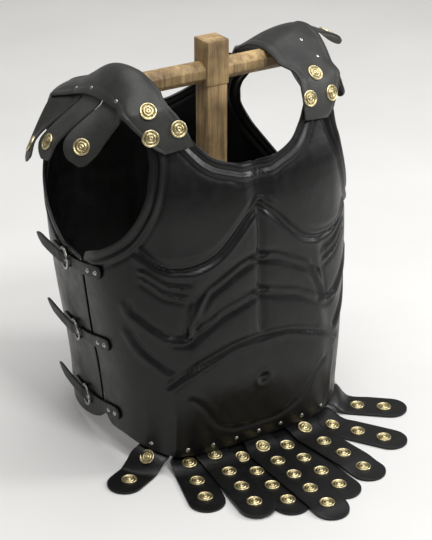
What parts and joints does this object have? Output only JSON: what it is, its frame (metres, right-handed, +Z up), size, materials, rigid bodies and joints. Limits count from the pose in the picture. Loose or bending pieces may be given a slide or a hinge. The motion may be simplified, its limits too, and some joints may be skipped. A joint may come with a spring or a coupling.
{
  "type": "leather muscle armour on a wooden stand",
  "caption": "Black leather muscle armour of a formed front and back plate with shoulder straps and tabs, buckled sides and a skirt of studded strips, on a wooden post with a crossbar.",
  "frame": {"origin": "on the floor under the axis of the stand's post, at the middle of the underside of its board", "axes": "+Z up; the front of the armour faces -Y; +X is the wearer's left, along the crossbar"},
  "size_m": [0.4381, 0.5, 0.518],
  "materials": {
    "black_leather": "satin black moulded leather, smooth grain, soft highlights on the formed ridges",
    "strap_leather": "satin black leather straps, tabs and strips with cut edges",
    "nickel": "plain nickel-plated wire buckles",
    "wood": "dark weathered softwood, sawn, with scuffs and open grain"
  },
  "bodies": {
    "root": {"front_plate": "black_leather", "back_plate": "black_leather", "shoulder_strap_left": "strap_leather", "shoulder_tab_left_front": "strap_leather", "shoulder_tab_left_middle": "strap_leather", "shoulder_tab_left_rear": "strap_leather", "side_strap_left_top": "strap_leather", "buckle_left_top": "nickel", "buckle_tab_left_top": "strap_leather", "side_strap_left_middle": "strap_leather", "buckle_left_middle": "nickel", "buckle_tab_left_middle": "strap_leather", "side_strap_left_bottom": "strap_leather", "buckle_left_bottom": "nickel", "buckle_tab_left_bottom": "strap_leather", "shoulder_strap_right": "strap_leather", "shoulder_tab_right_front": "strap_leather", "shoulder_tab_right_middle": "strap_leather", "shoulder_tab_right_rear": "strap_leather", "side_strap_right_top": "strap_leather", "buckle_right_top": "nickel", "buckle_tab_right_top": "strap_leather", "side_strap_right_middle": "strap_leather", "buckle_right_middle": "nickel", "buckle_tab_right_middle": "strap_leather", "side_strap_right_bottom": "strap_leather", "buckle_right_bottom": "nickel", "buckle_tab_right_bottom": "strap_leather", "skirt_strip_1": "strap_leather", "skirt_strip_2": "strap_leather", "skirt_strip_3": "strap_leather", "skirt_strip_4": "strap_leather", "skirt_strip_5": "strap_leather", "skirt_strip_6": "strap_leather", "skirt_strip_7": "strap_leather", "skirt_strip_8": "strap_leather", "skirt_strip_9": "strap_leather", "stand_base": "wood", "stand_post": "wood", "stand_crossbar": "wood"}
  },
  "joints": []
}
